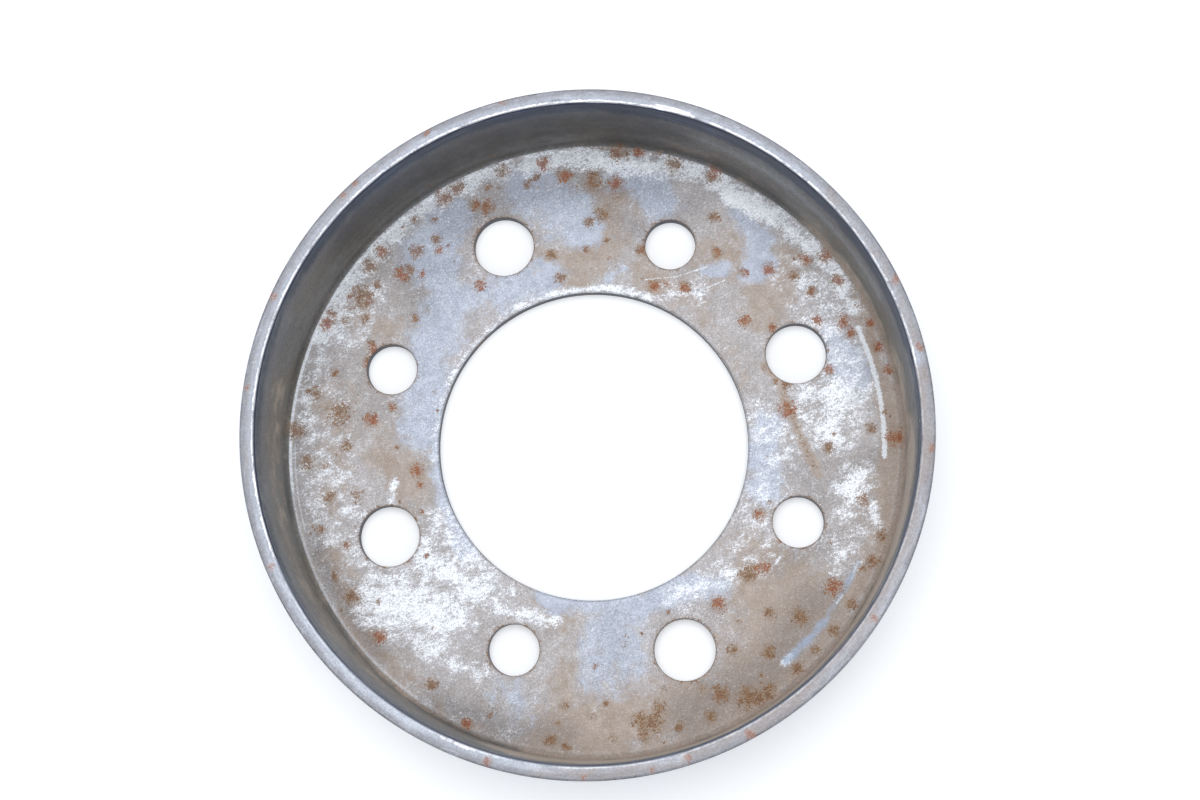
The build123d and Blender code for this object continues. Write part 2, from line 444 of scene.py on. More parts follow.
@dataclass
class BrakeDrum:
    """The drum's visible body, spun, punched, roughened and painted.

    A knock is given by its angle, the radius of its scoop and its depth, in
    degrees and millimetres.
    """

    sizes: DrumSizes
    turns: int = 640
    hole_turns: int = 96
    knock_turns: int = 64
    ring_pitch: float = 0.46 * MM
    knocks: tuple[Knock, ...] = ((52.5, 6.0, 0.28), (71.0, 1.8, 0.2), (0.5, 1.4, 0.3), (223.0, 1.6, 0.24))
    edge_knock: Knock = (146.0, 3.0, 0.25)
    knock_reach: float = 0.8 * MM
    edge_knock_reach: float = 0.6 * MM
    tool_ease: float = 0.004 * MM
    crest_offset: float = 1.35 * MM
    rim_dip: float = 0.07 * MM
    ripple: float = 0.11 * MM
    ripple_band: float = 0.9 * MM
    ripple_depth: float = 1.6 * MM
    ripple_scales: Band = (420, 1300)
    ripple_share: float = 0.6
    web_wave: float = 0.02 * MM
    web_wave_scale: float = 90
    outer_skin: float = 0.05 * MM
    weld: float = 0.001 * MM
    ring_reach: float = 0.9 * MM
    ring_strength: float = 0.5
    brush_pitch: float = 0.35
    brush_spread: float = 1.5
    spot_spread: float = 1.7
    wall_foot: float = 0.45
    rim_margin: float = 1.02
    facing_up: float = 0.45
    facing_down: float = -0.5
    smooth_angle: float = 32.0
    name: str = "drum_body"
    piece: Piece = field(default=None, init=False)

    def section(self) -> list[Place]:
        """Draw the outline of the drum's section.

        Returns:
            A closed loop of radius and height, from the bore's outer edge on.
        """
        s = self.sizes
        corner = s.track_radius - s.inner_corner
        bevel_top = s.track_radius + s.bevel_width
        crest = s.track_radius + self.crest_offset
        roll = s.outer_radius - s.rim_roll
        foot = s.outer_radius - s.outer_corner
        broken = s.bore_radius + s.punch_break
        opened = s.bore_radius + s.bore_entry
        bevel_foot = s.height - s.bevel_height
        dip = self.rim_dip
        edge = s.height - s.rim_roll - dip / 2
        rings = round((corner - s.bore_radius - s.bore_entry) / self.ring_pitch)
        outline = run((broken, 0), (s.bore_radius, s.punch_break), 1)
        outline += run((s.bore_radius, s.punch_break), (s.bore_radius, s.sheet - s.bore_entry), 4)
        outline += bend((opened, s.sheet - s.bore_entry), s.bore_entry, 180, 90, 5)
        outline += run((opened, s.sheet), (corner, s.sheet), rings)
        outline += bend((corner, s.sheet + s.inner_corner), s.inner_corner, -90, 0, 8)
        outline += run((s.track_radius, s.sheet + s.inner_corner), (s.track_radius, bevel_foot), 20)
        outline += run((s.track_radius, bevel_foot), (bevel_top, s.height - dip), 3)
        outline += run((bevel_top, s.height - dip), (crest, s.height), 3)
        outline += run((crest, s.height), (roll, s.height - dip / 2), 3)
        outline += bend((roll, edge), s.rim_roll, 90, 0, 5)
        outline += run((s.outer_radius, edge), (s.outer_radius, s.outer_corner), 10)
        outline += bend((foot, s.outer_corner), s.outer_corner, 0, -90, 9)
        return outline + run((foot, 0), (broken, 0), 8)

    def spin_body(self) -> None:
        """Draw the section from one vertex and spin it about the axis."""
        outline = self.section()
        first = outline[0]
        bpy.ops.mesh.primitive_plane_add(size=MM, location=(first[0], 0, first[1]))
        self.piece = bpy.context.active_object
        self.piece.name = self.name
        only(self.piece)
        bpy.ops.object.transform_apply()
        edit_all()
        bpy.ops.mesh.merge(type="CENTER")
        for here, there in zip(outline, outline[1:] + [first]):
            step = (there[0] - here[0], 0, there[1] - here[1])
            bpy.ops.mesh.extrude_region_move(TRANSFORM_OT_translate={"value": step})
        bpy.ops.mesh.select_all(action="SELECT")
        bpy.ops.mesh.remove_doubles(threshold=self.weld)
        bpy.ops.mesh.spin(steps=self.turns, angle=math.tau, center=(0, 0, 0), axis=(0, 0, 1))
        bpy.ops.mesh.select_all(action="SELECT")
        bpy.ops.mesh.remove_doubles(threshold=self.weld)
        close_mesh()

    def turned_tool(self, rings: Sequence[Place], place: Vector) -> Piece:
        """A closed round tool, built up ring by ring.

        Args:
            rings: Radius and height of each ring, from the lowest up.
            place: Where its axis meets the drum's base plane.

        Returns:
            The tool's object.
        """
        radius, height = rings[0]
        bpy.ops.mesh.primitive_circle_add(
            vertices=self.hole_turns, radius=radius, fill_type="NGON", location=(place.x, place.y, height)
        )
        tool = bpy.context.active_object
        only(tool)
        edit_all()
        for wide, high in rings[1:]:
            bpy.ops.mesh.extrude_region_move(TRANSFORM_OT_translate={"value": (0, 0, high - height)})
            grow = wide / radius
            bpy.ops.transform.resize(value=(grow, grow, 1), center_override=(place.x, place.y, high))
            radius, height = wide, high
        close_mesh()
        bpy.ops.object.transform_apply()
        return tool

    def hole_tool(self, angle: float, pitch_radius: float, radius: float) -> Piece:
        """Punch for one bolt hole, with its rolled entry and small break.

        Args:
            angle: Where the hole lies, in degrees.
            pitch_radius: How far it lies from the axis.
            radius: The hole's radius.

        Returns:
            The tool's object.
        """
        s = self.sizes
        broken = radius + s.punch_break
        opened = radius + s.hole_entry
        rings = [(broken, -s.sheet), (broken, 0), (radius, s.punch_break)]
        rings += bend((opened, s.sheet - s.hole_entry), s.hole_entry, 180, 90, 4)
        rings += [(opened, s.sheet + self.tool_ease), (opened, 2 * s.sheet)]
        return self.turned_tool(rings, around(angle, pitch_radius / MM, 0))

    def knock_tool(self, knock: Knock, edge: float, reach: float) -> Piece:
        """Round roller that scoops a knock out of the rim.

        Args:
            knock: Angle, radius of the scoop and depth.
            edge: Radius of the rim's edge that it sits on.
            reach: How far it cuts to either side of that edge.

        Returns:
            The tool's object.
        """
        angle, radius, depth = knock
        centre = around(angle, edge / MM, self.sizes.height + (radius - depth) * MM)
        turn = (0, math.pi / 2, math.radians(angle))
        bpy.ops.mesh.primitive_cylinder_add(
            vertices=self.knock_turns, radius=radius * MM, depth=2 * reach, location=centre, rotation=turn
        )
        tool = bpy.context.active_object
        only(tool)
        bpy.ops.object.transform_apply()
        return tool

    def cut(self) -> None:
        """Punch the bolt holes and knock the rim, with one joined set of tools."""
        s = self.sizes
        tools = [self.hole_tool(*hole) for hole in s.holes()]
        tools += [self.knock_tool(knock, s.track_radius, self.knock_reach) for knock in self.knocks]
        tools.append(self.knock_tool(self.edge_knock, s.outer_radius, self.edge_knock_reach))
        bpy.ops.object.select_all(action="DESELECT")
        for tool in tools:
            tool.select_set(True)
        bpy.context.view_layer.objects.active = tools[0]
        bpy.ops.object.join()
        cutter = bpy.context.active_object
        only(self.piece)
        modifier = self.piece.modifiers.new("punch", "BOOLEAN")
        modifier.operation = "DIFFERENCE"
        modifier.solver = "EXACT"
        modifier.object = cutter
        bpy.ops.object.modifier_apply(modifier=modifier.name)
        bpy.data.objects.remove(cutter)

    def roughen(self) -> None:
        """Ripple the trimmed edge of the rim and leave the web a little uneven."""
        s = self.sizes
        edge_band = s.track_radius + self.ripple_band
        rim_floor = s.height - self.ripple_depth
        for vertex in self.piece.data.vertices:
            place = vertex.co
            radius = math.hypot(place.x, place.y)
            if place.z > rim_floor and radius < edge_band:
                lift = (place.z - rim_floor) / (s.height - rim_floor)
                broad, fine = (noise.noise(place * scale) for scale in self.ripple_scales)
                wave = broad + self.ripple_share * fine
                push = 1 + self.ripple * lift * wave / radius
                place.x *= push
                place.y *= push
            elif abs(place.z - s.sheet) < self.web_wave and radius < s.track_radius - s.inner_corner:
                place.z += self.web_wave * noise.noise(place * self.web_wave_scale)
            vertex.co = place

    def region_of(self, face: bpy.types.MeshPolygon) -> Region:
        """Tell which finish a face takes, from its place and direction.

        Args:
            face: The face.

        Returns:
            Its region.
        """
        s = self.sizes
        centre = face.center
        radius = math.hypot(centre.x, centre.y)
        if centre.z > s.height - s.bevel_height * self.rim_margin and radius > s.track_radius:
            return Region.RIM
        if radius > s.track_radius + self.outer_skin:
            return Region.OUTSIDE
        if centre.z > s.sheet and radius > s.track_radius - self.wall_foot * s.inner_corner:
            return Region.TRACK
        if centre.z < self.weld or radius > s.track_radius:
            return Region.OUTSIDE
        if face.normal.z > self.facing_up and centre.z > s.sheet - s.bore_entry:
            return Region.WEB
        return Region.OUTSIDE if face.normal.z < self.facing_down else Region.CUT_EDGE

    def paint(self) -> None:
        """Lay the strokes and spots on the vertices as soft masks."""
        mesh = self.piece.data
        tree = KDTree(len(mesh.vertices))
        for vertex in mesh.vertices:
            tree.insert(vertex.co, vertex.index)
        tree.balance()
        layers = {mask: [0.0] * len(mesh.vertices) for mask in Mask}
        for mask, strokes in STROKES.items():
            for stroke in strokes:
                self.brush(tree, layers[mask], stroke)
        self.ring_holes(tree, layers[Mask.RUST])
        web, rim = self.sizes.sheet, self.sizes.height
        self.dot(tree, layers[Mask.RUST], BROWN_SPOTS + EMBER_SPOTS, web)
        self.dot(tree, layers[Mask.EMBER], EMBER_SPOTS, web)
        self.dot(tree, layers[Mask.RUST], RIM_SPOTS, rim)
        self.dot(tree, layers[Mask.EMBER], RIM_SPOTS, rim)
        for mask, values in layers.items():
            attribute = mesh.attributes.new(mask.value, "FLOAT", "POINT")
            attribute.data.foreach_set("value", values)

    def ring_holes(self, tree: KDTree, layer: Layer) -> None:
        """Leave a thin ring round each bolt hole.

        Args:
            tree: The drum's vertices.
            layer: The mask's value at each vertex.
        """
        for angle, pitch, radius in self.sizes.holes():
            centre = around(angle, pitch / MM, self.sizes.sheet)
            for _, vertex, distance in tree.find_range(centre, radius + self.ring_reach):
                share = self.ring_strength * (1 - abs(distance - radius) / self.ring_reach)
                layer[vertex] = max(layer[vertex], share)

    @staticmethod
    def press(tree: KDTree, layer: Layer, centre: Vector, reach: float, strength: float) -> None:
        """Press a round brush once: full strength at its centre, none at its reach."""
        for _, vertex, distance in tree.find_range(centre, reach):
            layer[vertex] = max(layer[vertex], strength * (1 - distance / reach))

    def brush(self, tree: KDTree, layer: Layer, stroke: Stroke) -> None:
        """Paint one stroke into a mask.

        Args:
            tree: The drum's vertices.
            layer: The mask's value at each vertex.
            stroke: The stroke.
        """
        places = [around(angle, radius, stroke.height * MM) for angle, radius in stroke.places]
        reach = self.brush_spread * stroke.reach * MM
        for here, there in zip(places, places[1:]):
            count = max(2, math.ceil((there - here).length / (stroke.reach * MM * self.brush_pitch)))
            for index in range(count + 1):
                self.press(tree, layer, here.lerp(there, index / count), reach, stroke.strength)

    def dot(self, tree: KDTree, layer: Layer, spots: Sequence[tuple], height: float) -> None:
        """Paint round spots into a mask.

        Args:
            tree: The drum's vertices.
            layer: The mask's value at each vertex.
            spots: The spots' angles, radii, widths and strengths.
            height: Their height in metres.
        """
        for angle, radius, width, *strength in spots:
            centre = around(angle, radius, height)
            self.press(tree, layer, centre, self.spot_spread * width * MM, *(strength or [1.0]))

    def dress(self, finishes: dict[Region, Material]) -> None:
        """Give each face the material of its region.

        Args:
            finishes: The material of each region.
        """
        mesh = self.piece.data
        mesh.materials.clear()
        for region in Region:
            mesh.materials.append(finishes[region])
        for face in mesh.polygons:
            face.material_index = self.region_of(face).value

    def build(self, finishes: dict[Region, Material]) -> Piece:
        """Make the body, dress it and set it on the frame.

        Args:
            finishes: The material of each region.

        Returns:
            The finished piece.
        """
        self.spin_body()
        self.cut()
        self.roughen()
        self.dress(finishes)
        self.paint()
        only(self.piece)
        bpy.ops.object.shade_smooth_by_angle(angle=math.radians(self.smooth_angle))
        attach(self.piece, "root")
        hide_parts("brake_drum")
        return self.piece


class Canvas:
    """Short ways to add and join shader nodes in one tree."""

    def __init__(self, tree: NodeTree) -> None:
        """Work on the tree of a material, a group or the world."""
        self.tree = tree

    def add(self, kind: str, inputs: dict | None = None, **settings: object) -> Node:
        """Add a node, set its properties and fill or link its inputs.

        Args:
            kind: The node's type, without its leading "ShaderNode".
            inputs: Socket name or number to a value or another node's output.
            settings: The node's own properties.

        Returns:
            The new node.
        """
        node = self.tree.nodes.new("ShaderNode" + kind)
        for key, value in settings.items():
            setattr(node, key, value)
        for key, value in (inputs or {}).items():
            self.feed(node.inputs[key], value)
        return node

    def feed(self, socket: Output, value: Socket) -> None:
        """Link an output into an input, or set the input's value.

        Args:
            socket: The input.
            value: A node's output or a plain value.
        """
        if isinstance(value, Output):
            self.tree.links.new(value, socket)
        else:
            socket.default_value = value

    def maths(self, operation: str, *values: Socket, clamp: bool = False) -> Output:
        """Result of one math operation."""
        return self.add("Math", dict(enumerate(values)), operation=operation, use_clamp=clamp).outputs[0]

    def times(self, one: Socket, other: Socket) -> Output:
        """Product of two numbers."""
        return self.maths("MULTIPLY", one, other)

    def plus(self, one: Socket, other: Socket) -> Output:
        """Sum of two numbers."""
        return self.maths("ADD", one, other)

    def minus(self, one: Socket, other: Socket) -> Output:
        """Difference of two numbers."""
        return self.maths("SUBTRACT", one, other)

    def larger(self, one: Socket, other: Socket) -> Output:
        """Larger of two numbers."""
        return self.maths("MAXIMUM", one, other)

    def rest(self, share: Socket) -> Output:
        """What a share leaves of one."""
        return self.maths("SUBTRACT", 1.0, share, clamp=True)

    def sway(self, wave: Socket, swing: Socket, base: Socket) -> Output:
        """A number that a noise moves up and down by half a swing."""
        return self.maths("MULTIPLY_ADD", self.minus(wave, 0.5), swing, base)

    def vector(self, operation: str, *values: Socket) -> Output:
        """Vector that one vector operation gives."""
        return self.add("VectorMath", dict(enumerate(values)), operation=operation).outputs["Vector"]

    def measure(self, operation: str, *values: Socket) -> Output:
        """Number that one vector operation gives."""
        return self.add("VectorMath", dict(enumerate(values)), operation=operation).outputs["Value"]

    def from_axis(self, place: Output) -> Output:
        """Distance of a place from the drum's axis."""
        return self.measure("LENGTH", self.vector("MULTIPLY", place, (1, 1, 0)))

    def parts(self, vector: Output) -> Outputs:
        """Outputs X, Y and Z of a vector."""
        return self.add("SeparateXYZ", {"Vector": vector}).outputs

    def mix(self, share: Socket, below: Socket, above: Socket, blend: str = "MIX") -> Output:
        """Colour mixed from two by a share."""
        inputs = {"Factor": share, 6: below, 7: above}
        return self.add("Mix", inputs, data_type="RGBA", blend_type=blend, clamp_factor=True).outputs[2]

    def blend(self, share: Socket, below: Socket, above: Socket) -> Output:
        """Number mixed from two by a share."""
        inputs = {"Factor": share, 2: below, 3: above}
        return self.add("Mix", inputs, data_type="FLOAT", clamp_factor=True).outputs[0]

    def noise(self, place: Socket, scale: Socket, detail: float, rough: float) -> Output:
        """Noise value from 0 to 1."""
        inputs = {"Vector": place, "Scale": scale, "Detail": detail, "Roughness": rough}
        return self.add("TexNoise", inputs).outputs["Fac"]

    def step(self, value: Socket, low: Socket, high: Socket) -> Output:
        """Smooth step of a value, from 0 at low to 1 at high."""
        inputs = {"Value": value, "From Min": low, "From Max": high}
        return self.add("MapRange", inputs, interpolation_type="SMOOTHSTEP").outputs["Result"]

    def step_about(self, value: Socket, level: Socket, softness: Socket) -> Output:
        """Smooth step of a value about a level."""
        low = self.minus(level, softness)
        return self.step(value, low, self.plus(level, softness))

    def group(self, tree: NodeTree, inputs: dict) -> Outputs:
        """Outputs of a shared group that is placed with its own values."""
        return self.add("Group", inputs, node_tree=tree).outputs


class GroupCanvas(Canvas):
    """Canvas of a shader node group."""

    KINDS = {"Place": "Vector", "Start": "Vector", "End": "Vector", "Colour": "Color"}

    def __init__(self, name: str, inputs: Sequence[str], outputs: Sequence[str] = ("Cover",)) -> None:
        """Start the group.

        Args:
            name: The group's name.
            inputs: Names of its inputs.
            outputs: Names of its outputs.
        """
        super().__init__(bpy.data.node_groups.new(name, "ShaderNodeTree"))
        for way, names in (("INPUT", inputs), ("OUTPUT", outputs)):
            for socket in names:
                kind = "NodeSocket" + self.KINDS.get(socket, "Float")
                self.tree.interface.new_socket(name=socket, in_out=way, socket_type=kind)
        self.given = self.tree.nodes.new("NodeGroupInput").outputs[:len(inputs)]
        self.sink = self.tree.nodes.new("NodeGroupOutput")

    def give(self, *results: Socket) -> NodeTree:
        """Link the group's outputs.

        Args:
            results: A value for each output, in order.

        Returns:
            The group's tree.
        """
        for socket, value in zip(self.sink.inputs, results):
            self.feed(socket, value)
        return self.tree


class SharedEffects:
    """Shader node groups that several of the drum's finishes place."""

    def __init__(self) -> None:
        """Make every group once."""
        self.grain = self.build_grain()
        self.flecks = self.build_flecks()
        self.ragged = self.build_ragged()
        self.rust = self.build_rust()
        self.specks = self.build_specks()
        self.arc = self.build_arc()
        self.scratch = self.build_scratch()

    @staticmethod
    def build_grain() -> NodeTree:
        """Make a fine crystalline grain about a mean of one.

        Returns:
            The group's tree.
        """
        group = GroupCanvas("steel_grain", ("Place", "Scale", "Contrast"), ("Grain",))
        place, scale, contrast = group.given
        total = 1.0
        for size, weight in ((2.1, 0.9), (1.0, 0.55), (0.3, 0.25)):
            wave = group.noise(place, group.times(scale, size), 1.0, 0.6)
            total = group.sway(wave, group.times(contrast, weight), total)
        return group.give(total)

    @staticmethod
    def build_flecks() -> NodeTree:
        """Make short pale flecks of bared crystal, as dense as asked.

        Returns:
            The group's tree.
        """
        group = GroupCanvas("bright_flecks", ("Place", "Scale", "Density"))
        place, scale, density = group.given
        inputs = {"Vector": place, "Scale": scale, "Detail": 2.0, "Roughness": 0.65, "Distortion": 1.1}
        threads = group.add("TexNoise", inputs).outputs["Fac"]
        level = group.maths("MULTIPLY_ADD", density, -0.42, 0.71)
        cover = group.step_about(threads, level, 0.055)
        return group.give(group.times(cover, group.step(density, 0.0, 0.1)))

    @staticmethod
    def build_ragged() -> NodeTree:
        """Break the soft edge of a painted mask into lobes and grains.

        Returns:
            The group's tree.
        """
        group = GroupCanvas("ragged_mask", ("Place", "Mask", "Scale", "Reach", "Softness"))
        place, mask, scale, reach, softness = group.given
        fine = group.noise(place, scale, 5.0, 0.72)
        lobes = group.noise(place, group.times(scale, 0.27), 2.0, 0.5)
        both = group.plus(group.minus(fine, 0.5), group.minus(lobes, 0.5))
        level = group.maths("MULTIPLY_ADD", both, reach, mask)
        cover = group.step_about(level, 0.4, softness)
        return group.give(group.times(cover, group.step(mask, 0.0, 0.12)))

    @staticmethod
    def build_rust() -> NodeTree:
        """Make a rust bloom: a dense core in a halo of fine brown grains.

        Returns:
            The group's tree.
        """
        group = GroupCanvas("rust_bloom", ("Place", "Mask", "Ember"), ("Colour", "Cover", "Height"))
        place, mask, ember = group.given
        specks = group.noise(place, 4600.0, 1.5, 0.6)
        fine = group.noise(place, 2500.0, 3.0, 0.7)
        lobes = group.noise(place, 850.0, 3.0, 0.65)
        near = group.step(mask, 0.0, 0.25)
        level = group.sway(fine, 1.5, group.sway(lobes, 2.0, mask))
        level = group.times(group.sway(specks, 1.3, level), near)
        core = group.step(level, 0.46, 0.68)
        dusty = group.sway(fine, 1.0, group.sway(specks, 2.0, mask))
        halo = group.times(group.step(dusty, 0.25, 0.8), near)
        cover = group.larger(group.times(core, 0.9), group.times(halo, 0.5))
        heart = group.step(group.sway(specks, 1.4, level), 0.5, 1.05)
        warmer = group.step(group.noise(place, 260.0, 1.0, 0.5), 0.5, 0.66)
        warmth = group.larger(group.step(ember, 0.02, 0.3), group.times(warmer, 0.4))
        warmth = group.times(warmth, group.blend(core, 0.45, 1.0))
        brown = group.mix(heart, srgb(172, 138, 100), srgb(122, 82, 46))
        orange = group.mix(heart, srgb(186, 124, 68), srgb(142, 66, 22))
        return group.give(group.mix(warmth, brown, orange), cover, group.times(cover, specks))

    @staticmethod
    def build_specks() -> NodeTree:
        """Make small separate specks, one in some of the cells.

        Returns:
            The group's tree.
        """
        group = GroupCanvas("small_specks", ("Place", "Scale", "Share"))
        place, scale, share = group.given
        cells = group.add("TexVoronoi", {"Vector": place, "Scale": scale, "Randomness": 1.0}).outputs
        chance = group.parts(cells["Color"])
        chosen = group.maths("LESS_THAN", chance["X"], share)
        size = group.maths("MULTIPLY_ADD", chance["Y"], 6.0, 3.0)
        return group.give(group.times(group.rest(group.times(cells["Distance"], size)), chosen))

    @staticmethod
    def build_arc() -> NodeTree:
        """Make a mark along a circle about the drum's axis.

        Returns:
            The group's tree.
        """
        group = GroupCanvas("arc_scuff", ("Place", "Radius", "Width", "Middle", "Span"))
        place, radius, width, middle, span = group.given
        parts = group.parts(place)
        off = group.maths("ABSOLUTE", group.minus(group.from_axis(place), radius))
        across = group.rest(group.maths("DIVIDE", off, width))
        angle = group.minus(group.maths("ARCTAN2", parts["Y"], parts["X"]), middle)
        turned = group.maths("ABSOLUTE", group.maths("WRAP", angle, math.pi, -math.pi))
        along = group.rest(group.maths("DIVIDE", turned, span))
        return group.give(group.times(across, group.step(along, 0.0, 0.12)))

    @staticmethod
    def build_scratch() -> NodeTree:
        """Make a straight scratch between two points on the web.

        Returns:
            The group's tree.
        """
        group = GroupCanvas("straight_scratch", ("Place", "Start", "End", "Width"))
        place, start, end, width = group.given
        line = group.vector("SUBTRACT", end, start)
        away = group.vector("SUBTRACT", group.vector("MULTIPLY", place, (1, 1, 0)), start)
        reached = group.measure("DOT_PRODUCT", away, line)
        share = group.maths("DIVIDE", reached, group.measure("DOT_PRODUCT", line, line), clamp=True)
        near = group.add("VectorMath", {0: line, "Scale": share}, operation="SCALE").outputs["Vector"]
        gap = group.measure("DISTANCE", away, near)
        return group.give(group.rest(group.maths("DIVIDE", gap, width)))


class Skin(Canvas):
    """A material that is laid on in layers, in its object's own coordinates."""

    def __init__(self, name: str, base: Socket, effects: SharedEffects | None = None) -> None:
        """Start the material with its lowest layer.

        Args:
            name: The material's name.
            base: Colour of the lowest layer.
            effects: The groups that the layers place.
        """
        self.material = bpy.data.materials.new(name)
        self.material.use_nodes = True
        super().__init__(self.material.node_tree)
        self.tree.nodes.clear()
        self.colour = base
        self.effects = effects
        self.place = self.add("TexCoord").outputs["Object"]

    def painted(self, mask: Mask) -> Output:
        """Value of one painted mask."""
        return self.add("Attribute", attribute_name=mask.value).outputs["Fac"]

    def grit(self, kind: Noise) -> Output:
        """Noise in the object's own coordinates."""
        return self.noise(self.place, *kind)

    def ragged(self, mask: Mask, place: Output, fray: Fray) -> Output:
        """A painted mask with its soft edge broken up.

        Args:
            mask: The mask.
            place: The coordinates of the lobes and grains.
            fray: Their scale, reach and softness.

        Returns:
            The cover.
        """
        inputs = {"Place": place, "Mask": self.painted(mask)}
        inputs.update(zip(("Scale", "Reach", "Softness"), fray))
        return self.group(self.effects.ragged, inputs)["Cover"]

    def speckled(self, scale: float, share: float) -> Output:
        """The painted rust with small specks of it between."""
        inputs = {"Place": self.place, "Scale": scale, "Share": share}
        return self.larger(self.painted(Mask.RUST), self.group(self.effects.specks, inputs)["Cover"])

    def lay(self, colour: Socket, cover: Socket, strength: float = 1.0, blend: str = "MIX") -> None:
        """Lay a colour over what is there.

        Args:
            colour: The colour.
            cover: Where it lies.
            strength: How much of it shows where it lies in full.
            blend: How it is mixed in.
        """
        share = cover if strength == 1.0 else self.times(cover, strength)
        self.colour = self.mix(share, self.colour, colour, blend)

    def lay_grain(self, scale: float, contrast: float, share: Socket = 1.0) -> Output:
        """Lighten and darken the colour by a fine grain.

        Args:
            scale: The grain's scale.
            contrast: How strong it is.
            share: Where it shows.

        Returns:
            The grain.
        """
        inputs = {"Place": self.place, "Scale": scale, "Contrast": contrast}
        grain = self.group(self.effects.grain, inputs)["Grain"]
        self.lay(grain, share, blend="MULTIPLY")
        return grain

    def lay_rust(self, strength: float, mask: Socket, ember: Socket) -> Outputs:
        """Lay rust over what is there.

        Args:
            strength: How much of it shows.
            mask: Where it lies.
            ember: Where it is orange.

        Returns:
            The rust's outputs: colour, cover and height.
        """
        rust = self.group(self.effects.rust, {"Place": self.place, "Mask": mask, "Ember": ember})
        self.lay(rust["Colour"], rust["Cover"], strength)
        return rust

    def close(self, rough: Socket, metal: Socket, height: Socket, depth: float) -> Material:
        """Finish the material with its bump, shader and output.

        Args:
            rough: Roughness.
            metal: Metallic share.
            height: Height of the bump, from 0 to 1.
            depth: How far down the bump reaches, in metres.

        Returns:
            The material.
        """
        bump = self.add("Bump", {"Height": height, "Distance": depth, "Strength": 1.0}).outputs["Normal"]
        inputs = {"Base Color": self.colour, "Roughness": rough, "Metallic": metal, "Normal": bump}
        shader = self.add("BsdfPrincipled", inputs)
        self.add("OutputMaterial", {"Surface": shader.outputs["BSDF"]})
        return self.material


@dataclass(frozen=True)
class Finish:
    """A finish of the drum, with what it shares with the others."""

    effects: SharedEffects


